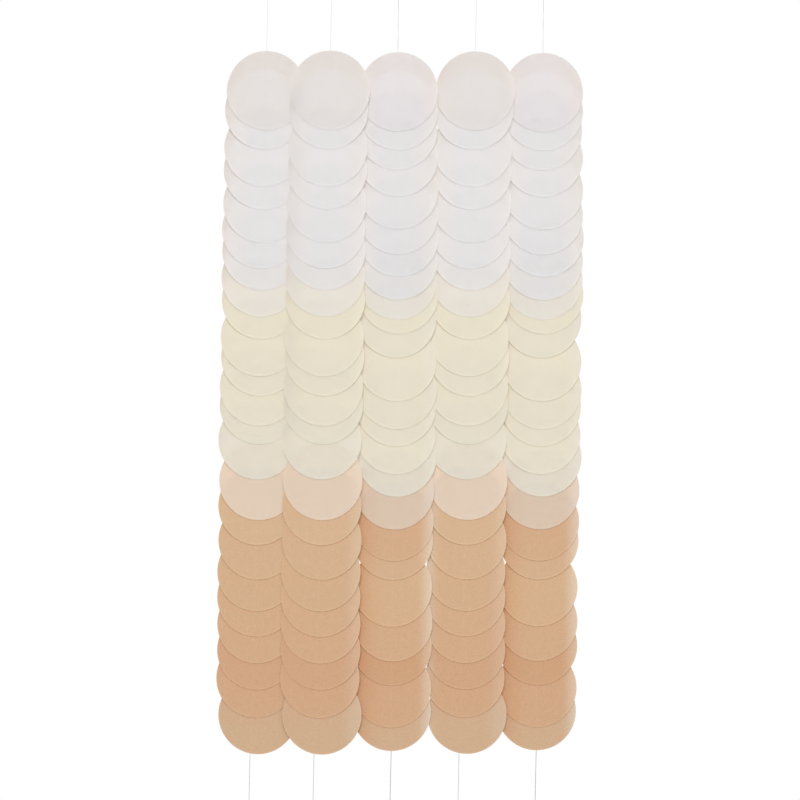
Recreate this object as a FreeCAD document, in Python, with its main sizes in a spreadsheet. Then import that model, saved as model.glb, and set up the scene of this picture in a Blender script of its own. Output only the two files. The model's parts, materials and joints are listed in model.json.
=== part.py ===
"""Tissue paper disc backdrop.

Five garlands hang side by side and overlap a little at their edges. Each garland is a
column of flat tissue paper discs that shades from white through cream and peach to nude.
Every disc lies over the one below it, with its top edge tucked back, like a fish scale.
One thread hangs the garland: it is tied in a loop at the top, runs down the front of the
discs as a seam, goes back through each disc near that disc's lower edge, and hangs
below the last disc, doubled with the sewing machine's second thread.

Frame: millimetres, +Z up, the front faces -Y and +X is to the right seen from the front.
The origin is the middle of the hanging loop of the third garland.
"""

import FreeCAD, Part
import os

from FreeCAD import Placement, Rotation, Vector
from math import cos, pi, tan

VOLUME_TOLERANCE = 0.001

# Driving sizes in millimetres, and slants in millimetres across for each one down.
SIZES = {
    "disc_diameter": 179,
    "disc_thickness": 0.2,
    "thread_diameter": 0.5,
    "tail_diameter": 1.0,
    "knot_diameter": 1.8,
    "loop_diameter": 14,
    "tail_length": 120,
    "needle_margin": 8,  # from a disc's lower edge up to its needle hole
    "needle_clearance": 0.05,  # between the thread and the edge of its hole
    "air_gap": 0.1,  # between the thread and the paper in front of it and behind it
    "layer_clearance": 0.4,  # between one garland and the next one behind it
    "wide_hanger": 123,  # from the loop's knot down to the first disc's upper edge
    "close_hanger": 125.7,
    "wide_seam_slant": 0.0217,
    "close_seam_slant": 0.01,
    "strand_1_across": -298.5,
    "strand_2_across": -152.5,
    "strand_3_across": 0,
    "strand_4_across": 178.5,
    "strand_5_across": 332,
}

# Each garland's discs from the top, in runs of one colour that share a node. A disc has its
# drop below the disc above it, and how far its middle lies to the right of its needle hole.
SEWING = {
    "wide": (
        ("white", ((0, 3.5), (44, 0.5))),
        ("white", ((85, 0.5), (52, 0.5))),
        ("white", ((76, 1), (59, -0.5))),
        ("white", ((49, 1), (61, 0.5))),
        ("cream", ((51, 2.5), (85, 1.5))),
        ("cream", ((45, 3.5), (68, 2))),
        ("cream", ((42, 3), (80, 1.5))),
        ("peach", ((93, 5.5),)),
        ("nude", ((57, 4.5), (79, 6.5), (72, 5.5))),
        ("nude", ((58, 6.5), (61, 8))),
        ("nude", ((60, 9), (64, 8.5), (83, 15))),
    ),
    "close": (
        ("white", ((0, 2.5), (43, 3))),
        ("white", ((45, 1.5), (61, 4))),
        ("white", ((75, 5), (57, 5), (51, 7.5))),
        ("white", ((53, 6), (45, 6))),
        ("cream", ((32, 8), (55, 4))),
        ("cream", ((99, 5), (64, 6), (39, 5))),
        ("cream", ((64, 4.5), (51, 7.5))),
        ("peach", ((75, 3.5),)),
        ("nude", ((72, 3.5), (43, 3.5))),
        ("nude", ((107, 2.5), (79, 2), (55, 2))),
        ("nude", ((96, 1.5), (53, 0.5))),
    ),
}

# The garlands from left to right: how each is sewn, and its layer, counted towards the
# front from the one that holds the origin.
GARLANDS = (
    ("strand_1", "wide", 0),
    ("strand_2", "wide", 1),
    ("strand_3", "close", 0),
    ("strand_4", "wide", -1),
    ("strand_5", "close", -2),
)

DISC_RADIUS = "sizes.disc_diameter / 2"
SEAM_DEPTH = "(sizes.disc_thickness + sizes.air_gap + sizes.thread_diameter / 2)"
THREAD_SPACE = "(sizes.disc_thickness + sizes.thread_diameter + 2 * sizes.air_gap)"


def sewn_discs(sewing):
    return [disc for _, run in SEWING[sewing] for disc in run]


def drop_name(sewing, number):
    return f"{sewing}_drop_{number:02d}"


def side_name(sewing, number):
    return f"{sewing}_side_{number:02d}"


def make_sheet(doc):
    """Writes the driving sizes into a sheet, one row each: what it is, and its number."""
    values = dict(SIZES)
    for sewing in SEWING:
        for number, (drop, side) in enumerate(sewn_discs(sewing), 1):
            if number > 1:
                values[drop_name(sewing, number)] = drop
            values[side_name(sewing, number)] = side
    sheet = doc.addObject("Spreadsheet::Sheet", "sizes")
    for row, (name, value) in enumerate(values.items(), 1):
        sheet.set(f"A{row}", name.replace("_", " "))
        sheet.set(f"B{row}", str(value))
        sheet.setAlias(f"B{row}", name)
    doc.recompute()
    return sheet


def make_worked_out(doc):
    """The discs lean just enough for the thread to pass between two of them at the
    shortest drop, and a layer is as deep as a leaning disc."""
    drops = [
        f"sizes.{drop_name(sewing, number)}"
        for sewing in SEWING
        for number in range(2, len(sewn_discs(sewing)) + 1)
    ]
    worked_out = doc.addObject("App::VarSet", "worked_out")
    worked_out.addProperty("App::PropertyAngle", "lean")
    worked_out.addProperty("App::PropertyFloat", "layer_step")
    worked_out.setExpression("lean", f"asin({THREAD_SPACE} / min({'; '.join(drops)}))")
    worked_out.setExpression(
        "layer_step",
        "sizes.disc_diameter * sin(lean) + sizes.disc_thickness + sizes.layer_clearance",
    )
    doc.recompute()
    return worked_out


def place(thing, x, y, z):
    """Stands a disc up with its front towards -Y and its top edge leaning back."""
    thing.Placement = Placement(Vector(), Rotation(Vector(1, 0, 0), 90))
    thing.setExpression("Placement.Base.x", x)
    thing.setExpression("Placement.Base.y", y)
    thing.setExpression("Placement.Base.z", z)
    thing.setExpression("Placement.Rotation.Angle", "90 deg - worked_out.lean")


def make_disc(doc, name, side):
    """A disc lies in its own XY plane with its back at Z = 0, and has one needle hole
    near its lower edge."""
    paper = doc.addObject("Part::Cylinder", f"{name}_paper")
    paper.setExpression("Radius", DISC_RADIUS)
    paper.setExpression("Height", "sizes.disc_thickness")
    needle = doc.addObject("Part::Cylinder", f"{name}_needle")
    needle.setExpression("Radius", "sizes.thread_diameter / 2 + sizes.needle_clearance")
    needle.setExpression("Height", "3 * sizes.disc_thickness")
    needle.setExpression("Placement.Base.x", f"-sizes.{side}")
    needle.setExpression("Placement.Base.y", f"sizes.needle_margin - {DISC_RADIUS}")
    needle.setExpression("Placement.Base.z", "-sizes.disc_thickness")
    disc = doc.addObject("Part::Cut", name)
    disc.Base = paper
    disc.Tool = needle
    return disc


def make_discs(doc, strand, sewing, layer):
    """All the discs of one garland, each hung from the one above it."""
    hanger = f"sizes.{sewing}_hanger"
    slant = f"sizes.{sewing}_seam_slant"
    first_x = (
        f"sizes.{strand}_across + sizes.{side_name(sewing, 1)}"
        f" - {slant} * ({hanger} + sizes.disc_diameter - sizes.needle_margin)"
    )
    below_knot = f"({hanger} + {DISC_RADIUS} * cos(worked_out.lean))"
    y = (
        f"{SEAM_DEPTH} / cos(worked_out.lean) - {below_knot} * tan(worked_out.lean)"
        f" - {layer} * worked_out.layer_step"
    )
    first_z = f"-sizes.loop_diameter / 2 - {below_knot}"
    discs = []
    for number in range(1, len(sewn_discs(sewing)) + 1):
        side = side_name(sewing, number)
        disc = make_disc(doc, f"{strand}_disc_{number:02d}", side)
        if discs:
            above = f"{discs[-1].Name}.Placement.Base"
            drop = f"sizes.{drop_name(sewing, number)}"
            across = f"sizes.{side} - sizes.{side_name(sewing, number - 1)} - {slant} * {drop}"
            x = f"{above}.x + ({across}) * 1 mm"
            place(disc, x, y, f"{above}.z - {drop} * 1 mm")
        else:
            place(disc, first_x, y, first_z)
        discs.append(disc)
    return discs


def make_disc_nodes(doc, strand, sewing, discs):
    """Each run of discs shares a node, and every disc in it is still a solid of its own."""
    nodes = []
    colours = []
    left = list(discs)
    for colour, run in SEWING[sewing]:
        colours.append(colour)
        name = f"{strand}_{colour}_discs_{colours.count(colour)}"
        node = doc.addObject("Part::Compound", name)
        node.Links = left[: len(run)]
        nodes.append(node)
        left = left[len(run) :]
    return nodes


def seam_route(sheet, sewing, discs, lean_sine):
    """The thread's way down the discs: to each needle hole in front of its disc, and
    through it to the front of the next one."""
    in_front = sheet.disc_thickness + sheet.air_gap + sheet.thread_diameter / 2
    hole_y = sheet.needle_margin - sheet.disc_diameter / 2
    route = []
    for number, disc in enumerate(discs, 1):
        hole_x = -sheet.get(side_name(sewing, number))
        if number < len(discs):
            behind = in_front - sheet.get(drop_name(sewing, number + 1)) * lean_sine
        else:
            behind = -sheet.air_gap - sheet.tail_diameter / 2
        route.append(disc.Placement.multVec(Vector(hole_x, hole_y, in_front)))
        route.append(disc.Placement.multVec(Vector(hole_x, hole_y, behind)))
    return route


def bent_wire(points, radius):
    """Straight runs between the points, joined by tangent arcs of that radius."""
    edges = []
    start = points[0]
    for before, corner, after in zip(points, points[1:], points[2:]):
        arriving = (corner - before).normalize()
        leaving = (after - corner).normalize()
        half_turn = arriving.getAngle(leaving) / 2
        reach = radius * tan(half_turn)
        inwards = (leaving - arriving).normalize()
        middle = corner + inwards * (radius / cos(half_turn) - radius)
        arc_start = corner - arriving * reach
        arc_end = corner + leaving * reach
        edges.append(Part.LineSegment(start, arc_start).toShape())
        edges.append(Part.Arc(arc_start, middle, arc_end).toShape())
        start = arc_end
    edges.append(Part.LineSegment(start, points[-1]).toShape())
    return Part.Wire(edges)


def tube(path, diameter):
    """A round solid along a path, checked against its section times its length."""
    start = path.Edges[0]
    circle = Part.makeCircle(diameter / 2, start.Vertexes[0].Point, start.tangentAt(0))
    solid = path.makePipeShell([Part.Wire(circle)], True, False)
    expected = path.Length * pi * diameter**2 / 4
    if abs(solid.Volume / expected - 1) > VOLUME_TOLERANCE:
        raise RuntimeError(f"a tube holds {solid.Volume:.2f} mm3 and not {expected:.2f}")
    return solid


def make_thread(doc, sheet, strand, sewing, layer, discs, worked_out):
    """The loop, its knot, the seam, the doubled tail and the tail's knot, in one piece."""
    lean_sine = discs[0].Placement.Rotation.multVec(Vector(0, 1, 0)).y
    eye = Vector(sheet.get(f"{strand}_across"), -layer * worked_out.layer_step, 0)
    knot = eye - Vector(0, 0, sheet.loop_diameter / 2)
    seam = seam_route(sheet, sewing, discs, lean_sine)
    bend = sheet.air_gap + sheet.thread_diameter / 2
    down = Vector(-sheet.get(f"{sewing}_seam_slant"), 0, -1).normalize()
    tail_start = seam[-1] - down * sheet.tail_diameter / 2
    tail_end = seam[-1] + down * sheet.tail_length
    tail = Part.Wire(Part.makeLine(tail_start, tail_end))
    pieces = [
        tube(bent_wire([knot] + seam, bend), sheet.thread_diameter),
        tube(tail, sheet.tail_diameter),
        Part.makeSphere(sheet.knot_diameter / 2, knot),
        Part.makeSphere(sheet.knot_diameter / 2, tail_end),
    ]
    loop = Part.makeTorus(
        sheet.loop_diameter / 2, sheet.thread_diameter / 2, eye, Vector(0, 1, 0)
    )
    thread = doc.addObject("Part::Feature", f"{strand}_thread")
    thread.Shape = loop.multiFuse(pieces)
    return thread


def check(doc, nodes):
    """Stops if anything in the document failed or a node isn't made of sound solids."""
    for thing in doc.Objects:
        if "Invalid" in thing.State or "Error" in thing.State:
            raise RuntimeError(f"{thing.Label} failed: {thing.State}")
    for node in nodes:
        shape = node.Shape
        if shape.isNull() or not shape.isValid() or not shape.Solids:
            raise RuntimeError(f"{node.Label} has no sound shape")


def main():
    doc = FreeCAD.newDocument("tissue_disc_backdrop")
    sheet = make_sheet(doc)
    worked_out = make_worked_out(doc)
    nodes = []
    garlands = []
    for strand, sewing, layer in GARLANDS:
        discs = make_discs(doc, strand, sewing, layer)
        nodes += make_disc_nodes(doc, strand, sewing, discs)
        garlands.append((strand, sewing, layer, discs))
    doc.recompute()
    for strand, sewing, layer, discs in garlands:
        nodes.append(make_thread(doc, sheet, strand, sewing, layer, discs, worked_out))
    doc.recompute()
    check(doc, nodes)
    os.makedirs("parts", exist_ok=True)
    for node in nodes:
        node.Shape.exportStep(f"parts/{node.Label}.step")
        box = node.Shape.BoundBox
        print(
            f"{node.Label}: {len(node.Shape.Solids)} solids, {node.Shape.Volume:.1f} mm3,"
            f" x {box.XMin:.1f} to {box.XMax:.1f}, y {box.YMin:.2f} to {box.YMax:.2f},"
            f" z {box.ZMin:.1f} to {box.ZMax:.1f}"
        )


main()
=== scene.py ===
"""Looks of the tissue paper disc backdrop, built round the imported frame.

Metres, +Z up, the front faces -Y and +X is to the right seen from the front.
"""

import json
import math
import random
from collections import namedtuple

import bpy
from mathutils import Matrix, Vector, noise


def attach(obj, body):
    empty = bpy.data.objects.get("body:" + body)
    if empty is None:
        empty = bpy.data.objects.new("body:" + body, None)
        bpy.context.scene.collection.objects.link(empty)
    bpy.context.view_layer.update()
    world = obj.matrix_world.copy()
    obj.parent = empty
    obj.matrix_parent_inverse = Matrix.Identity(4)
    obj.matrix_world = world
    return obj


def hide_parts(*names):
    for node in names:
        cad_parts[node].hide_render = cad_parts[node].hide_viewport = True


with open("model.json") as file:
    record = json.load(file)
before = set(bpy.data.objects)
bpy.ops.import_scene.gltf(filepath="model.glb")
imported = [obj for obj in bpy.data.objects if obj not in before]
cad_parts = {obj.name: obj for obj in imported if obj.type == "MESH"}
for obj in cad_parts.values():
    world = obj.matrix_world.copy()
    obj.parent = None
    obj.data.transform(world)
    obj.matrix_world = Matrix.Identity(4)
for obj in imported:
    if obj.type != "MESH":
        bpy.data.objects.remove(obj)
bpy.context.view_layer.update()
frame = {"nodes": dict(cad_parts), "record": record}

MM = 0.001

# The camera looks straight at the front. The floor lies well below the tails.
CAMERA_PLACE = (0.0035, -5.078, -0.9259)
FOCAL_LENGTH_MM = 100
FRAME_WIDTH_MM = 36
FLOOR_SIZE = 3
FLOOR_Z = -2.3

# The paper. The rings of a disc's mesh are counted in millimetres from its rim inwards.
PAPER_RADIUS = 90.6 * MM
PAPER_THICKNESS = 0.2 * MM
PAPER_CORNERS = 72
RING_WIDTHS = (0.8, 1.5, 2, 2.5, 3.5, 5, 7, 9, 11, 13, 14, 12)
PAPER_SMOOTH = math.radians(40)
MERGE_DISTANCE = 0.01 * MM
LEAN = math.asin(0.9 / 32)
PAPER_REACH = PAPER_RADIUS * math.cos(LEAN)
NEEDLE_MARGIN = 8 * MM
AIR_GAP = 0.1 * MM

# How a paper bends. It bows back round a wide radius, shares a slow wave with its
# neighbours, lifts at its lower rim, curls at its lower left and right, and its left and
# right limbs draw back. Its upper and lower halves flare in opposite ways, and it rests
# on the next paper with a small gap.
BOW_RADIUS = 1.8
WAVE_HEIGHT = 2.0 * MM
WAVE_LENGTH = 0.3
WAVE_FREE_FROM = 35 * MM
RIM_WIDTH = 4 * MM
RIM_HEIGHT = 0.4 * MM
CURL_WIDTH = 38 * MM
CURL_TURN = math.radians(52)
CURL_SPREAD = math.radians(24)
CURL_PLAY_DEGREES = 9
CURL = (0, 0.5 * MM)
LIMB_FROM = 55 * MM
LIMB_DRAW = 0.9 * MM
FLARES = {"white": 8 * MM, "cream": 6 * MM, "peach": 4 * MM, "nude": 3 * MM}
RESTING_GAPS = {
    "white": 0.9 * MM,
    "cream": 1.0 * MM,
    "peach": 1.0 * MM,
    "nude": 1.1 * MM,
}

# Each garland's left and right side: how much it bows back, how much it flares, how far
# it is drawn back where the next garland lies over it, how much painted light its loose
# limb gets and how much painted shadow its edge gets.
Side = namedtuple("Side", "bow flare draw free brown")
SIDES = {
    1: (Side(1, 1.5, 0, 0, 1), Side(0.6, 0.2, 0, 0, 0)),
    2: (Side(1.1, 0.3, 0, 0, 1), Side(0, 1.2, 0, 0.35, 0)),
    3: (Side(1, 1.5, 6 * MM, 0, 0), Side(0, 1.2, 0, 1, 0)),
    4: (Side(1, 1.5, 0, 1, 0.4), Side(0, 1.2, 0, 0.35, 0)),
    5: (Side(1, 1.5, 6 * MM, 0, 0), Side(0, 1.2, 0, 1, 0)),
}
DRAWN_FROM = 20 * MM

# The discs that were sewn on a little to one side: for each garland, which and how far.
STRAYS = {
    3: {
        9: -1.2 * MM,
        18: -1.0 * MM,
        19: -2.2 * MM,
        20: -2.2 * MM,
        22: -1.2 * MM,
        23: -1.2 * MM,
    },
    4: {7: 1.2 * MM},
    5: {19: -1.0 * MM, 20: -1.0 * MM},
}

# How each paper's colour changes: deeper in dye down the discs of one colour (dye); in
# the last of them, painted with the light and colour that show through from behind
# (last); painted shade towards the left and right limbs (limb); painted light at limbs
# that stand out loose (free); painted shade where a side lies under the
# next garland (painted_tucked_shade); a painted shadow at the edges just outside the
# disc above (painted_edge_shadow); painted shade close below the disc above (shaded);
# and a painted highlight along the cut rim (rim).
TINTS = {
    "white": {
        "last": (1.01, 0.985, 0.925),
        "limb": (0.985, 0.965, 0.935),
        "painted_edge_shadow": (0.91, 0.85, 0.81),
        "shaded": (0.978, 0.978, 0.978),
    },
    "cream": {
        "dye": (0.985, 0.98, 0.99),
        "last": (0.965, 0.975, 1),
        "limb": (0.955, 0.95, 0.95),
        "free": (1, 1.015, 1.04),
        "painted_tucked_shade": (0.99, 0.99, 1),
        "painted_edge_shadow": (0.93, 0.88, 0.87),
        "shaded": (0.977, 0.975, 0.977),
    },
    "peach": {
        "limb": (0.99, 0.98, 0.98),
        "free": (1.03, 1.1, 1.2),
        "painted_tucked_shade": (1, 0.96, 0.93),
        "shaded": (0.99, 0.985, 0.985),
    },
    "nude": {
        "dye": (0.925, 0.83, 0.79),
        "last": (0.94, 0.985, 1.02),
        "free": (1.11, 1.34, 1.65),
        "painted_tucked_shade": (1, 0.88, 0.8),
        "shaded": (1.02, 0.98, 0.97),
        "rim": (1.08, 1.08, 1.07),
    },
}

# The discs that get a tint of their own, for garlands that are sewn wide and those that
# are sewn close.
WIDE_DISC_TINTS = {
    1: (0.97, 0.95, 0.93),
    13: (0.955, 0.97, 0.98),
    21: (0.98, 0.955, 0.95),
}
CLOSE_DISC_TINTS = {
    1: (1, 0.975, 0.985),
    11: (0.97, 0.98, 1),
    17: (0.93, 0.91, 0.9),
    18: (0.965, 0.9, 0.88),
    20: (1.02, 1.03, 1.01),
    22: (0.965, 0.91, 0.86),
}
DISC_TINTS = {
    1: WIDE_DISC_TINTS,
    2: WIDE_DISC_TINTS,
    3: CLOSE_DISC_TINTS,
    4: WIDE_DISC_TINTS,
    5: CLOSE_DISC_TINTS,
}

# How soon the dye deepens down a colour, and how deep it is in the last disc of all.
DYE_POWER = 0.75
LAST_DYE = 0.65

# How wide the painted shadow at the edges and the painted shade are, and how deep the
# painted shade is straight below a disc and, on top of that, towards its sides.
EDGE_SHADOW_WIDTH = 14 * MM
SHADE_WIDTH = 16 * MM
SHADE_UNDER = 0.5
SHADE_BESIDE = 0.7

# The tissue's pattern: soft clouds of pulp, a fine grain and long fibres, and how much
# each counts. A disc's sheet is mapped in units of 100 mm, and shifted by up to the span.
SHEET_SCALE = 10
SHEET_SPAN = 9
CLOUDS = {"scale": 9, "detail": 5, "roughness": 0.65}
GRAIN = {"scale": 90, "detail": 3, "roughness": 0.6}
FIBRES = {"scale": 1, "detail": 2, "roughness": 0.5, "distortion": 1.5}
FIBRE_STRETCH = (18, 130, 1)
FIBRE_TURN = 0.5
CLOUD_WEIGHT, GRAIN_WEIGHT, FIBRE_WEIGHT = 0.6, 0.25, 0.15
PULP_RANGE = (0.38, 0.62)

# The spun thread's pattern, in the same way.
FUZZ = {"scale": 6000, "detail": 3, "roughness": 0.6}
SLUBS = {"scale": 300, "detail": 2, "roughness": 0.5}
FUZZ_WEIGHT, SLUB_WEIGHT = 0.6, 0.4
THREAD_RANGE = (0.35, 0.65)

# The thread.
STITCH_PITCH = 3.0 * MM
STITCH_LENGTH = 2.6 * MM
STITCH_RADIUS = 0.1 * MM
STITCH_FLATNESS = 0.8
TUCKED_STITCHES = 8 * MM
TOP_MARGIN = 2 * MM
HANGER_TWIST = 2.4 * MM
TAIL_TWIST = 9 * MM
RINGS_PER_TWIST = 10
HANGER_SIDES = 6
TAIL_SIDES = 8
THREAD_SMOOTH = math.radians(60)
LOOP_RADIUS = 7 * MM
KNOT_RADIUS = 0.9 * MM
KNOT_POINTS = 18
LOOP_KNOT_TURN = 0.4
TAIL_KNOT_TURN = 0.7
TAIL_LENGTH = 120 * MM
TAIL_SLANT = 0.022

# How far to the right of the last disc's needle hole each garland's tail leaves it.
TAIL_OFFSETS = {1: -2.8 * MM, 2: -2.5 * MM, 3: 0.6 * MM, 4: -2.6 * MM, 5: 0.3 * MM}

# How far each garland's seam drifts to the left for each metre down.
SEAM_SLANTS = {1: 0.0217, 2: 0.0217, 3: 0.01, 4: 0.0217, 5: 0.01}

# Where each garland hangs: the middle of its loop.
EYES = {
    int(mount["name"].rsplit("_", 1)[1]): Vector(mount["pos_m"])
    for mount in frame["record"]["mounts"]
}


def deselect():
    bpy.ops.object.select_all(action="DESELECT")


def pick(thing):
    deselect()
    thing.select_set(True)
    bpy.context.view_layer.objects.active = thing


def scrap(*things):
    for thing in things:
        data = thing.data
        bpy.data.objects.remove(thing)
        if isinstance(data, bpy.types.Mesh):
            bpy.data.meshes.remove(data)
        elif isinstance(data, bpy.types.Curve):
            bpy.data.curves.remove(data)


def apply_modifiers(thing):
    pick(thing)
    for modifier in list(thing.modifiers):
        bpy.ops.object.modifier_apply(modifier=modifier.name)


def joined(parts, name):
    deselect()
    for part in parts:
        part.select_set(True)
    bpy.context.view_layer.objects.active = parts[0]
    bpy.ops.object.join()
    whole = bpy.context.view_layer.objects.active
    whole.name = name
    whole.data.name = name
    return whole


# ---------------------------------------------------------------- camera

camera_data = bpy.data.cameras.new("camera")
camera_data.lens = FOCAL_LENGTH_MM
camera_data.sensor_width = FRAME_WIDTH_MM
camera = bpy.data.objects.new("camera", camera_data)
camera.location = CAMERA_PLACE
camera.rotation_euler = (math.radians(90), 0, 0)
bpy.context.scene.collection.objects.link(camera)
bpy.context.scene.camera = camera


# ---------------------------------------------------------------- materials


def new_material(name):
    material = bpy.data.materials.new(name)
    material.use_nodes = True
    nodes = material.node_tree.nodes
    links = material.node_tree.links
    return material, nodes, links, nodes["Principled BSDF"], nodes["Material Output"]


def noise_node(nodes, links, vector, scale, detail, roughness=0.5, distortion=0.0):
    node = nodes.new("ShaderNodeTexNoise")
    node.inputs["Scale"].default_value = scale
    node.inputs["Detail"].default_value = detail
    node.inputs["Roughness"].default_value = roughness
    node.inputs["Distortion"].default_value = distortion
    links.new(vector, node.inputs["Vector"])
    return node.outputs["Fac"]


def stretched(nodes, links, vector, scale, turn):
    node = nodes.new("ShaderNodeMapping")
    node.inputs["Scale"].default_value = scale
    node.inputs["Rotation"].default_value = (0, 0, turn)
    links.new(vector, node.inputs["Vector"])
    return node.outputs["Vector"]


def math_node(nodes, links, operation, first, second):
    node = nodes.new("ShaderNodeMath")
    node.operation = operation
    for socket, value in zip(node.inputs, (first, second)):
        if isinstance(value, (int, float)):
            socket.default_value = value
        else:
            links.new(value, socket)
    return node.outputs["Value"]


def ramped(nodes, links, value, low, high, to_low, to_high):
    node = nodes.new("ShaderNodeMapRange")
    node.inputs["From Min"].default_value = low
    node.inputs["From Max"].default_value = high
    node.inputs["To Min"].default_value = to_low
    node.inputs["To Max"].default_value = to_high
    links.new(value, node.inputs["Value"])
    return node.outputs["Result"]


def blended(nodes, links, factor, first, second):
    node = nodes.new("ShaderNodeMix")
    node.data_type = "RGBA"
    links.new(factor, node.inputs["Factor"])
    node.inputs["A"].default_value = (*first, 1)
    node.inputs["B"].default_value = (*second, 1)
    return node.outputs["Result"]


def weighted_sum(nodes, links, *parts):
    """The sum of values, each times its own weight."""
    products = [
        math_node(nodes, links, "MULTIPLY", value, weight) for value, weight in parts
    ]
    total = products[0]
    for product in products[1:]:
        total = math_node(nodes, links, "ADD", total, product)
    return total


def fine_bump(nodes, links, height, strength, distance):
    node = nodes.new("ShaderNodeBump")
    node.inputs["Strength"].default_value = strength
    node.inputs["Distance"].default_value = distance
    links.new(height, node.inputs["Height"])
    return node.outputs["Normal"]


def tinted(nodes, links, colour):
    """A colour times the paper's tint, which holds its dye, its own tints and the light
    and shade painted into it.
    """
    tint = nodes.new("ShaderNodeAttribute")
    tint.attribute_name = "tint"
    product = nodes.new("ShaderNodeMix")
    product.data_type = "RGBA"
    product.blend_type = "MULTIPLY"
    product.inputs["Factor"].default_value = 1
    links.new(colour, product.inputs["A"])
    links.new(tint.outputs["Color"], product.inputs["B"])
    return product.outputs["Result"]


def tissue(name, dense, thin, dim, bright, sheer, patchy):
    """Tissue paper: its colour where the pulp is dense and where it is thin, the light
    that comes through it there, dim or bright, how sheer it is and how patchily."""
    material, nodes, links, surface, output = new_material(name)
    sheet = nodes.new("ShaderNodeUVMap")
    sheet.uv_map = "sheet"
    place = sheet.outputs["UV"]
    along = stretched(nodes, links, place, FIBRE_STRETCH, FIBRE_TURN)
    clouds = noise_node(nodes, links, place, **CLOUDS)
    grain = noise_node(nodes, links, place, **GRAIN)
    fibres = noise_node(nodes, links, along, **FIBRES)
    pulp = weighted_sum(
        nodes,
        links,
        (clouds, CLOUD_WEIGHT),
        (grain, GRAIN_WEIGHT),
        (fibres, FIBRE_WEIGHT),
    )
    density = ramped(nodes, links, pulp, *PULP_RANGE, 0, 1)
    colour = tinted(nodes, links, blended(nodes, links, density, thin, dense))
    links.new(colour, surface.inputs["Base Color"])
    surface.inputs["Roughness"].default_value = 0.7
    surface.inputs["Specular IOR Level"].default_value = 0.35
    normal = fine_bump(nodes, links, pulp, 0.25, 0.2 * MM)
    links.new(normal, surface.inputs["Normal"])
    through = nodes.new("ShaderNodeBsdfTranslucent")
    cloudy = ramped(nodes, links, clouds, *PULP_RANGE, 0, 1)
    links.new(blended(nodes, links, cloudy, bright, dim), through.inputs["Color"])
    links.new(normal, through.inputs["Normal"])
    mix = nodes.new("ShaderNodeMixShader")
    links.new(
        ramped(nodes, links, cloudy, 0, 1, sheer + patchy, sheer - patchy),
        mix.inputs[0],
    )
    links.new(surface.outputs["BSDF"], mix.inputs[1])
    links.new(through.outputs["BSDF"], mix.inputs[2])
    links.new(mix.outputs["Shader"], output.inputs["Surface"])
    return material


TISSUES = {
    "white": tissue(
        "white_tissue",
        dense=(0.99, 0.988, 0.991),
        thin=(0.98, 0.978, 0.981),
        dim=(0.965, 0.965, 0.975),
        bright=(0.985, 0.985, 0.995),
        sheer=0.6,
        patchy=0.05,
    ),
    "cream": tissue(
        "cream_tissue",
        dense=(0.985, 0.965, 0.865),
        thin=(0.98, 0.95, 0.845),
        dim=(0.96, 0.93, 0.83),
        bright=(0.98, 0.95, 0.85),
        sheer=0.5,
        patchy=0.03,
    ),
    "peach": tissue(
        "peach_tissue",
        dense=(0.935, 0.815, 0.675),
        thin=(0.915, 0.79, 0.65),
        dim=(0.88, 0.76, 0.63),
        bright=(0.92, 0.8, 0.67),
        sheer=0.4,
        patchy=0.02,
    ),
    "nude": tissue(
        "nude_tissue",
        dense=(0.765, 0.52, 0.325),
        thin=(0.72, 0.475, 0.29),
        dim=(0, 0.15, 0.2),
        bright=(0.5, 1, 1),
        sheer=0.2,
        patchy=0.01,
    ),
}


def spun_thread(name, dark, light):
    """Spun thread: fuzzy, and a little thicker and thinner along it."""
    material, nodes, links, surface, _ = new_material(name)
    place = nodes.new("ShaderNodeTexCoord").outputs["Object"]
    fuzz = noise_node(nodes, links, place, **FUZZ)
    slubs = noise_node(nodes, links, place, **SLUBS)
    spun = weighted_sum(nodes, links, (fuzz, FUZZ_WEIGHT), (slubs, SLUB_WEIGHT))
    tone = ramped(nodes, links, spun, *THREAD_RANGE, 0, 1)
    links.new(blended(nodes, links, tone, dark, light), surface.inputs["Base Color"])
    surface.inputs["Roughness"].default_value = 0.75
    surface.inputs["Sheen Weight"].default_value = 0.2
    normal = fine_bump(nodes, links, fuzz, 0.3, 0.05 * MM)
    links.new(normal, surface.inputs["Normal"])
    return material


PALE_THREAD = spun_thread("pale_thread", (0.34, 0.32, 0.29), (0.46, 0.43, 0.39))
DARK_THREAD = spun_thread("dark_thread", (0.12, 0.11, 0.09), (0.22, 0.2, 0.17))
STITCHED_THREAD = spun_thread("stitched_thread", (0.76, 0.71, 0.65), (0.84, 0.79, 0.73))


# ---------------------------------------------------------------- thread


def seam_x(strand, z):
    """Where a garland's seam is, across, at a height."""
    return EYES[strand].x + SEAM_SLANTS[strand] * (z + LOOP_RADIUS)


def smooth_curve(name, points, order, steps, closed):
    curve = bpy.data.curves.new(name, "CURVE")
    curve.dimensions = "3D"
    curve.resolution_u = steps
    spline = curve.splines.new("NURBS")
    spline.points.add(len(points) - 1)
    for point, place in zip(spline.points, points):
        point.co = (*place, 1)
    spline.order_u = order
    spline.use_endpoint_u = not closed
    spline.use_cyclic_u = closed
    line = bpy.data.objects.new(name, curve)
    bpy.context.scene.collection.objects.link(line)
    return line


def route(name, points):
    """A thread's line, from the first of these points to the last."""
    return smooth_curve(name, points, order=3, steps=24, closed=False)


def line_points(line):
    """The points along a thread's line, close together."""
    mesh = bpy.data.meshes.new_from_object(line)
    points = [vertex.co.copy() for vertex in mesh.vertices]
    bpy.data.meshes.remove(mesh)
    return points


def line_length(points):
    return sum((b - a).length for a, b in zip(points, points[1:]))


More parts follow.
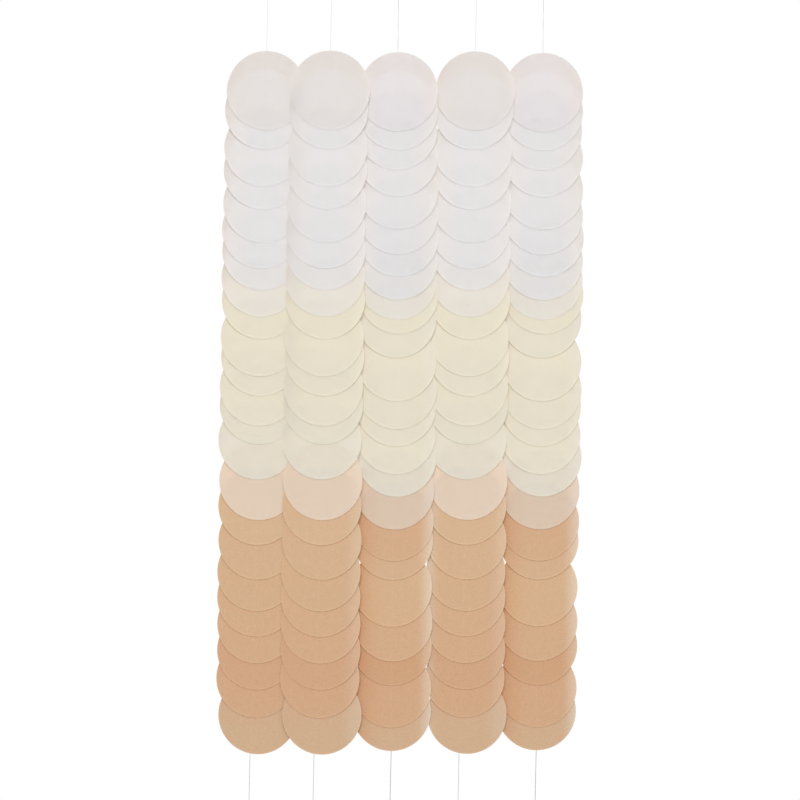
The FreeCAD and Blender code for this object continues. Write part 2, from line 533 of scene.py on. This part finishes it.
def strand_of_ply(length, radius, offset, sides, rings):
    """A straight ply along +X, beside the thread's middle."""
    deselect()
    bpy.ops.mesh.primitive_cylinder_add(
        vertices=sides,
        radius=radius,
        depth=length,
        end_fill_type="NGON",
        location=(length / 2, 0, offset),
        rotation=(0, math.pi / 2, 0),
    )
    ply = bpy.context.active_object
    bpy.ops.object.transform_apply(location=True, rotation=True, scale=True)
    bpy.ops.object.mode_set(mode="EDIT")
    bpy.ops.mesh.select_all(action="DESELECT")
    bpy.ops.object.mode_set(mode="OBJECT")
    for edge in ply.data.edges:
        ends = [ply.data.vertices[i].co.x for i in edge.vertices]
        edge.select = abs(ends[0] - ends[1]) > length / 2
    bpy.ops.object.mode_set(mode="EDIT")
    bpy.ops.mesh.select_mode(type="EDGE")
    bpy.ops.mesh.subdivide(number_cuts=rings)
    bpy.ops.object.mode_set(mode="OBJECT")
    return ply


def twisted_thread(name, line, radius, turn_length, sides, material):
    """Two plies twisted together along a line."""
    points = line_points(line)
    length = line_length(points)
    turns = length / turn_length
    rings = int(turns * RINGS_PER_TWIST)
    plies = [
        strand_of_ply(length, radius / 2, offset, sides, rings)
        for offset in (-radius / 2, radius / 2)
    ]
    thread = joined(plies, name)
    twist = thread.modifiers.new("twist", "SIMPLE_DEFORM")
    twist.deform_method = "TWIST"
    twist.deform_axis = "X"
    twist.angle = turns * math.tau
    bend = thread.modifiers.new("along", "CURVE")
    bend.object = line
    bend.deform_axis = "POS_X"
    apply_modifiers(thread)
    bpy.ops.object.shade_smooth_by_angle(angle=THREAD_SMOOTH)
    thread.data.materials.clear()
    thread.data.materials.append(material)
    return thread, points, length


def tie_knot(name, place, size, thickness, turn, material):
    """An overhand knot pulled tight: its line is a trefoil."""
    points = []
    for k in range(KNOT_POINTS):
        t = math.tau * k / KNOT_POINTS
        points.append(
            Vector(
                (
                    math.sin(t) + 2 * math.sin(2 * t),
                    -1.6 * math.sin(3 * t),
                    math.cos(t) - 2 * math.cos(2 * t),
                )
            )
            * (size / 3)
        )
    knot = smooth_curve(name, points, order=4, steps=4, closed=True)
    knot.data.bevel_depth = thickness
    knot.data.bevel_resolution = 2
    pick(knot)
    bpy.ops.object.convert(target="MESH")
    knot = bpy.context.active_object
    knot.data.transform(Matrix.Translation(place) @ Matrix.Rotation(turn, 4, "Y"))
    bpy.ops.object.shade_smooth()
    knot.data.materials.clear()
    knot.data.materials.append(material)
    return knot


# Each garland's hanging thread, its radius and that of the doubled tail. The garlands
# that are sewn close hang by a darker, stouter thread.
THREADS = {
    1: (PALE_THREAD, 0.29 * MM, 0.54 * MM),
    2: (PALE_THREAD, 0.28 * MM, 0.52 * MM),
    3: (DARK_THREAD, 0.46 * MM, 0.7 * MM),
    4: (PALE_THREAD, 0.29 * MM, 0.52 * MM),
    5: (DARK_THREAD, 0.41 * MM, 0.66 * MM),
}


# Shares of the way along a straight thread.
QUARTERS = (0, 0.25, 0.5, 0.75, 1)

# The hanging loop's outline from its knot and back: across and up, in loop radii.
LOOP_OUTLINE = (
    (0, -1),
    (0.42, -0.8),
    (0.95, -0.35),
    (1.12, 0.35),
    (0.62, 1.0),
    (0, 1.02),
    (-0.62, 1.0),
    (-1.12, 0.35),
    (-0.95, -0.35),
    (-0.42, -0.8),
    (0, -1),
)


def thread_piece(piece, strand):
    """Says that a piece stands for some of a garland's thread."""
    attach(piece, "root")
    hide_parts(f"strand_{strand}_thread")


def tie_loop(strand, material, radius):
    """The hanging loop, drawn out a little towards its knot, and the knot."""
    eye = EYES[strand]
    knot_place = eye - Vector((0, 0, LOOP_RADIUS))
    line = route(
        f"strand_{strand}_loop_line",
        [eye + Vector((across, 0, up)) * LOOP_RADIUS for across, up in LOOP_OUTLINE],
    )
    loop, _, _ = twisted_thread(
        f"strand_{strand}_loop", line, radius, HANGER_TWIST, HANGER_SIDES, material
    )
    scrap(line)
    thread_piece(loop, strand)
    knot = tie_knot(
        f"strand_{strand}_loop_knot",
        knot_place,
        KNOT_RADIUS,
        radius,
        LOOP_KNOT_TURN * strand,
        material,
    )
    thread_piece(knot, strand)
    return loop, knot


def hang_thread(strand, top_edge):
    """The bare thread from the loop's knot down to the first disc's upper edge."""
    material, radius, _ = THREADS[strand]
    knot_place = EYES[strand] - Vector((0, 0, LOOP_RADIUS))
    line = route(
        f"strand_{strand}_hanger_line",
        [knot_place.lerp(top_edge, share) for share in QUARTERS],
    )
    hanger, points, length = twisted_thread(
        f"strand_{strand}_hanger", line, radius, HANGER_TWIST, HANGER_SIDES, material
    )
    scrap(line)
    thread_piece(hanger, strand)
    loop, knot = tie_loop(strand, material, radius)


def hang_tail(strand, start):
    """The doubled thread that hangs beside the last disc's needle hole, and its knot."""
    _, _, radius = THREADS[strand]
    start = start + Vector((TAIL_OFFSETS[strand], radius, 0))
    down = Vector((-TAIL_SLANT, 0, -1)).normalized()
    end = start + down * TAIL_LENGTH
    line = route(
        f"strand_{strand}_tail_line",
        [start.lerp(end, share) for share in QUARTERS],
    )
    tail, points, length = twisted_thread(
        f"strand_{strand}_tail", line, radius, TAIL_TWIST, TAIL_SIDES, DARK_THREAD
    )
    scrap(line)
    thread_piece(tail, strand)
    knot = tie_knot(
        f"strand_{strand}_tail_knot",
        end,
        KNOT_RADIUS,
        radius / 2,
        TAIL_KNOT_TURN * strand,
        DARK_THREAD,
    )
    thread_piece(knot, strand)


# ---------------------------------------------------------------- paper


def cut_disc():
    """One flat paper disc that faces the front, in rings that are finest at its rim."""
    deselect()
    bpy.ops.mesh.primitive_circle_add(
        vertices=PAPER_CORNERS,
        radius=PAPER_RADIUS,
        fill_type="NGON",
        rotation=(math.pi / 2, 0, 0),
    )
    disc = bpy.context.active_object
    bpy.ops.object.transform_apply(location=True, rotation=True, scale=True)
    bpy.ops.object.mode_set(mode="EDIT")
    bpy.ops.mesh.select_all(action="SELECT")
    for width in RING_WIDTHS:
        bpy.ops.mesh.inset(thickness=width * MM)
    bpy.ops.mesh.poke()
    bpy.ops.object.mode_set(mode="OBJECT")
    wall = disc.modifiers.new("paper", "SOLIDIFY")
    wall.thickness = PAPER_THICKNESS
    wall.offset = 0
    apply_modifiers(disc)
    bpy.ops.object.shade_smooth_by_angle(angle=PAPER_SMOOTH)
    return disc


def disc_places(node):
    """The middles of the discs in a CAD node, from the top down."""
    copy = bpy.data.objects.new("measured", node.data.copy())
    bpy.context.scene.collection.objects.link(copy)
    pick(copy)
    bpy.ops.object.mode_set(mode="EDIT")
    bpy.ops.mesh.select_all(action="SELECT")
    bpy.ops.mesh.remove_doubles(threshold=MERGE_DISTANCE)
    bpy.ops.mesh.separate(type="LOOSE")
    bpy.ops.object.mode_set(mode="OBJECT")
    discs = list(bpy.context.selected_objects)
    middles = []
    for disc in discs:
        points = [vertex.co for vertex in disc.data.vertices]
        low = Vector([min(point[k] for point in points) for k in range(3)])
        high = Vector([max(point[k] for point in points) for k in range(3)])
        middles.append((low + high) / 2)
    scrap(*discs)
    return sorted(middles, key=lambda middle: -middle.z)


def smooth_step(value):
    """From 0 to 1, with a smooth start and end."""
    value = min(1, max(0, value))
    return value * value * (3 - 2 * value)


def wave(x, z):
    """The slow wave that neighbouring garlands share. It dies out at every seam."""
    still = 1
    for strand in EYES:
        away = (x - seam_x(strand, z)) / WAVE_FREE_FROM
        still *= 1 - math.exp(-away * away)
    return WAVE_HEIGHT * still * noise.noise(Vector((x, 0, z)) / WAVE_LENGTH)


def rests(colours, middles):
    """How far each disc's lower edge is drawn back, to rest on the disc below it."""
    drawn = [0]
    for colour, above, below in reversed(list(zip(colours, middles, middles[1:]))):
        drop = above.z - below.z
        share = (1 - drop / (2 * PAPER_RADIUS)) ** 2
        gap = min(RESTING_GAPS[colour], drop * math.tan(LEAN))
        drawn.append(drop * math.tan(LEAN) - gap + share * drawn[-1])
    return drawn[::-1]


def tint_of(colour, shares):
    """A paper's tint where each kind of change has this share."""
    tint = Vector((1, 1, 1))
    for kind, change in TINTS[colour].items():
        tint *= Vector((1, 1, 1)).lerp(Vector(change), shares[kind])
    return tint


def shade_below(place, above):
    """How shaded a place is by the disc above: most beside it, and less below it."""
    if above is None:
        return 0
    away = Vector((place.x - above.x, place.z - above.z))
    beyond = max(0, away.length - PAPER_RADIUS)
    beside = abs(away.x) / away.length
    return math.exp(-beyond / SHADE_WIDTH) * min(1, SHADE_UNDER + SHADE_BESIDE * beside)


def shape_paper(disc, middle, above, strand, colour, dye, rest, dice):
    """Hangs a flat disc in its place: its lower edge rests on the next disc, both sides
    spring away from the seam, and its lower left and lower right curl to the front."""
    tints = disc.data.color_attributes.new("tint", "FLOAT_COLOR", "POINT")
    seam = seam_x(strand, middle.z) - middle.x
    curls = [dice.uniform(*CURL) for _ in SIDES[strand]]
    turns = [
        CURL_TURN + math.radians(dice.uniform(-CURL_PLAY_DEGREES, CURL_PLAY_DEGREES))
        for _ in curls
    ]
    lean = Matrix.Rotation(-LEAN, 3, "X")
    for vertex in disc.data.vertices:
        u, w, v = vertex.co
        reach = math.hypot(u, v)
        turn = math.atan2(u, -v)
        away = u - seam
        bow, flare, draw, free, edge_shadow = SIDES[strand][0 if away < 0 else 1]
        limb = smooth_step((abs(away) - LIMB_FROM) / (PAPER_RADIUS - LIMB_FROM))
        w += bow * away ** 2 / (2 * BOW_RADIUS) + LIMB_DRAW * limb
        drawn = smooth_step((abs(away) - DRAWN_FROM) / (PAPER_RADIUS - DRAWN_FROM))
        w += draw * drawn
        w += flare * FLARES[colour] * (away / PAPER_RADIUS) ** 4 * v / PAPER_RADIUS
        w += rest * ((1 - v / PAPER_RADIUS) / 2) ** 2
        side = 0 if turn < 0 else 1
        curled = smooth_step((reach - PAPER_RADIUS + CURL_WIDTH) / CURL_WIDTH)
        aside = (abs(turn) - turns[side]) / CURL_SPREAD
        w -= curls[side] * curled * math.exp(-aside * aside)
        rim = smooth_step((reach - PAPER_RADIUS + RIM_WIDTH) / RIM_WIDTH)
        w -= RIM_HEIGHT * rim * max(0, math.cos(turn)) ** 2
        placed = middle + lean @ Vector((u, w, v))
        placed.y -= wave(placed.x, placed.z)
        vertex.co = placed
        # The band along the edge that takes the painted shadow.
        edge = smooth_step((abs(away) - PAPER_RADIUS + EDGE_SHADOW_WIDTH) / EDGE_SHADOW_WIDTH)
        shade = shade_below(placed, above)
        shares = {
            # The dye share, and the share of light and colour that show through the last
            # disc of a colour from behind, painted in.
            **dye,
            # Painted shade towards the left and right limbs.
            "limb": (away / PAPER_RADIUS) ** 2,
            # Painted light on limbs that stand out loose, whiter as if light came through
            # them.
            "free": free * limb,
            # Painted shade on the side that lies under the next garland.
            "painted_tucked_shade": drawn if draw else 0,
            # Painted shadow on the left edges, just outside the disc above.
            "painted_edge_shadow": edge_shadow * edge * shade,
            "shaded": shade,
            # A painted highlight along the cut rim.
            "rim": rim,
        }
        tint = tint_of(colour, shares) * dye["disc_tint"]
        tints.data[vertex.index].color = (*tint, 1)


def map_sheet(disc, dice):
    """Lays the paper's own pattern over a flat disc, turned and shifted for each."""
    turn = Matrix.Rotation(dice.uniform(0, math.tau), 2)
    shift = Vector((dice.uniform(0, SHEET_SPAN), dice.uniform(0, SHEET_SPAN)))
    layer = disc.data.uv_layers.new(name="sheet")
    for loop in disc.data.loops:
        u, _, v = disc.data.vertices[loop.vertex_index].co
        layer.data[loop.index].uv = turn @ Vector((u, v)) * SHEET_SCALE + shift


def paper_dyes(strand, colours):
    """Each disc's dye, which is deeper down each colour but for the last disc of all,
    whether the disc is the last of its colour, and its own tint."""
    dyes = []
    for number, colour in enumerate(colours):
        order, count = number - colours.index(colour), colours.count(colour)
        dyes.append(
            {
                "dye": min(1, order / max(1, count - 2)) ** DYE_POWER,
                "last": order == count - 1,
                "disc_tint": Vector(DISC_TINTS[strand].get(number + 1, (1, 1, 1))),
            }
        )
    dyes[-1]["dye"] = LAST_DYE
    return dyes


def hang_paper(master, node_name, strand, colour, above, middles, dyes, drawn, dice):
    """The papers that stand for one CAD node of discs, from the top down."""
    discs = []
    for middle, rest, dye in zip(middles, drawn, dyes):
        disc = bpy.data.objects.new("disc", master.data.copy())
        bpy.context.scene.collection.objects.link(disc)
        map_sheet(disc, dice)
        shape_paper(disc, middle, above, strand, colour, dye, rest, dice)
        discs.append(disc)
        above = middle
    piece = joined(discs, node_name.replace("discs", "papers"))
    piece.data.materials.clear()
    piece.data.materials.append(TISSUES[colour])
    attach(piece, "root")
    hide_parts(node_name)


# ---------------------------------------------------------------- seam


def make_stitch():
    """One stitch of thread, along +Z, its two ends down in their needle holes."""
    deselect()
    bpy.ops.mesh.primitive_uv_sphere_add(segments=6, ring_count=5, radius=1)
    stitch = bpy.context.active_object
    bpy.ops.object.mode_set(mode="EDIT")
    bpy.ops.transform.resize(
        value=(STITCH_RADIUS, STITCH_RADIUS * STITCH_FLATNESS, STITCH_LENGTH / 2)
    )
    bpy.ops.object.mode_set(mode="OBJECT")
    for vertex in stitch.data.vertices:
        vertex.co.y += STITCH_RADIUS * (2 * vertex.co.z / STITCH_LENGTH) ** 2
    bpy.ops.object.shade_smooth()
    return stitch


def stitch_places(strand, middles, drawn, front):
    """Where the stitches are on the front or the back of a garland's discs."""
    places = []
    face = PAPER_THICKNESS / 2 * (-1 if front else 1)
    for number, (middle, rest) in enumerate(zip(middles, drawn)):
        top = middle.z + PAPER_REACH - TOP_MARGIN
        bottom = middle.z - PAPER_REACH + NEEDLE_MARGIN
        if front and number:
            top = middles[number - 1].z - PAPER_REACH + TUCKED_STITCHES
        if not front and number + 1 < len(middles):
            bottom = middles[number + 1].z + PAPER_REACH - TUCKED_STITCHES
        count = max(1, int((top - bottom) / STITCH_PITCH))
        for k in range(count):
            z = bottom + (k + 0.5) * STITCH_PITCH
            y = middle.y + face + (z - middle.z) * math.tan(LEAN)
            y += rest * ((1 - (z - middle.z) / PAPER_REACH) / 2) ** 2
            places.append(Vector((seam_x(strand, z), y, z)))
    return places


def sew_seam(strand, middles, drawn, stitch):
    """All the stitches of a garland, on both sides of its papers, as one piece."""
    slant = Matrix.Rotation(math.atan(SEAM_SLANTS[strand]), 4, "Y")
    lean = Matrix.Rotation(-LEAN, 4, "X")
    turned = Matrix.Rotation(math.pi, 4, "Z")
    vertices, faces = [], []
    for front in (True, False):
        turn = lean @ slant @ (Matrix.Identity(4) if front else turned)
        for place in stitch_places(strand, middles, drawn, front):
            start = len(vertices)
            spot = Matrix.Translation(place) @ turn
            vertices += [spot @ vertex.co for vertex in stitch.data.vertices]
            faces += [
                [start + k for k in polygon.vertices] for polygon in stitch.data.polygons
            ]
    name = f"strand_{strand}_seam"
    mesh = bpy.data.meshes.new(name)
    mesh.from_pydata(vertices, [], faces)
    mesh.shade_smooth()
    mesh.materials.append(STITCHED_THREAD)
    seam = bpy.data.objects.new(name, mesh)
    bpy.context.scene.collection.objects.link(seam)
    thread_piece(seam, strand)


# ---------------------------------------------------------------- garlands

garlands = {strand: [] for strand in EYES}
for node_name, node in sorted(frame["nodes"].items()):
    if "discs" in node_name:
        strand, colour = int(node_name.split("_")[1]), node_name.split("_")[2]
        garlands[strand].append((node_name, colour, disc_places(node)))

for strand, nodes in garlands.items():
    nodes.sort(key=lambda entry: -entry[2][0].z)
    middles = [middle for _, _, places in nodes for middle in places]
    first, last = middles[0], middles[-1]
    hanger_z = first.z + PAPER_REACH
    below_eye = EYES[strand].z - LOOP_RADIUS - hanger_z
    top_edge = Vector(
        (
            seam_x(strand, hanger_z),
            EYES[strand].y - below_eye * math.tan(LEAN),
            hanger_z,
        )
    )
    hang_thread(strand, top_edge)
    hole_z = last.z - PAPER_REACH + NEEDLE_MARGIN
    hole_y = last.y + (hole_z - last.z) * math.tan(LEAN)
    behind = PAPER_THICKNESS / 2 + AIR_GAP
    hang_tail(strand, Vector((seam_x(strand, hole_z), hole_y + behind, hole_z)))

stitch = make_stitch()
disc = cut_disc()
for strand, nodes in garlands.items():
    dice = random.Random(strand)
    middles = [middle for _, _, places in nodes for middle in places]
    for number, stray in STRAYS.get(strand, {}).items():
        middles[number - 1].x += stray
    colours = [colour for _, colour, places in nodes for _ in places]
    dyes = paper_dyes(strand, colours)
    drawn = rests(colours, middles)
    sew_seam(strand, middles, drawn, stitch)
    above = None
    for node_name, colour, places in nodes:
        hang_paper(disc, node_name, strand, colour, above, places, dyes, drawn, dice)
        dyes, drawn = dyes[len(places) :], drawn[len(places) :]
        above = places[-1]
scrap(stitch, disc)


# ---------------------------------------------------------------- floor and light

deselect()
bpy.ops.mesh.primitive_plane_add(size=FLOOR_SIZE, location=(0, 0, FLOOR_Z))
floor = bpy.context.active_object
floor.name = "floor"
bpy.ops.object.transform_apply(location=True, rotation=True, scale=True)
floor_material, _, _, floor_surface, _ = new_material("pale_floor")
floor_surface.inputs["Base Color"].default_value = (0.85, 0.85, 0.85, 1)
floor_surface.inputs["Roughness"].default_value = 0.9
floor.data.materials.append(floor_material)


def add_sun(name, towards_light, colour, strength, angle):
    data = bpy.data.lights.new(name, "SUN")
    data.color = colour
    data.energy = strength
    data.angle = math.radians(angle)
    light = bpy.data.objects.new(name, data)
    light.rotation_euler = Vector(towards_light).to_track_quat("Z", "Y").to_euler()
    bpy.context.scene.collection.objects.link(light)


add_sun("key", (0, -0.85, 0.5), colour=(0.97, 1, 1.03), strength=2.08, angle=35)
add_sun("side", (0.85, -0.5, 0.25), colour=(0.9, 1, 1.1), strength=0.14, angle=20)

# Soft light from walls all round, warmer behind. The camera and glossy rays see white.
FRONT_WALL = (0.5, 0.47, 0.44, 1)
BACK_WALL = (0.46, 0.37, 0.3, 1)
WALL_BLEND = 0.3

world = bpy.data.worlds.new("studio")
bpy.context.scene.world = world
world.use_nodes = True
world_nodes, world_links = world.node_tree.nodes, world.node_tree.links
soft = world_nodes["Background"]
soft.inputs["Strength"].default_value = 1
heading = world_nodes.new("ShaderNodeSeparateXYZ")
world_links.new(
    world_nodes.new("ShaderNodeTexCoord").outputs["Generated"], heading.inputs["Vector"]
)
around = world_nodes.new("ShaderNodeMapRange")
around.interpolation_type = "SMOOTHSTEP"
around.inputs["From Min"].default_value = -WALL_BLEND
around.inputs["From Max"].default_value = WALL_BLEND
world_links.new(heading.outputs["Y"], around.inputs["Value"])
wall = world_nodes.new("ShaderNodeMix")
wall.data_type = "RGBA"
wall.inputs["A"].default_value = FRONT_WALL
wall.inputs["B"].default_value = BACK_WALL
world_links.new(around.outputs["Result"], wall.inputs["Factor"])
world_links.new(wall.outputs["Result"], soft.inputs["Color"])
white = world_nodes.new("ShaderNodeBackground")
white.inputs["Color"].default_value = (1, 1, 1, 1)
white.inputs["Strength"].default_value = 1
rays = world_nodes.new("ShaderNodeLightPath")
seen = world_nodes.new("ShaderNodeMath")
seen.operation = "MAXIMUM"
world_links.new(rays.outputs["Is Camera Ray"], seen.inputs[0])
world_links.new(rays.outputs["Is Glossy Ray"], seen.inputs[1])
either = world_nodes.new("ShaderNodeMixShader")
world_links.new(seen.outputs["Value"], either.inputs[0])
world_links.new(soft.outputs["Background"], either.inputs[1])
world_links.new(white.outputs["Background"], either.inputs[2])
world_links.new(either.outputs["Shader"], world_nodes["World Output"].inputs["Surface"])

bpy.context.scene.view_settings.view_transform = "Standard"
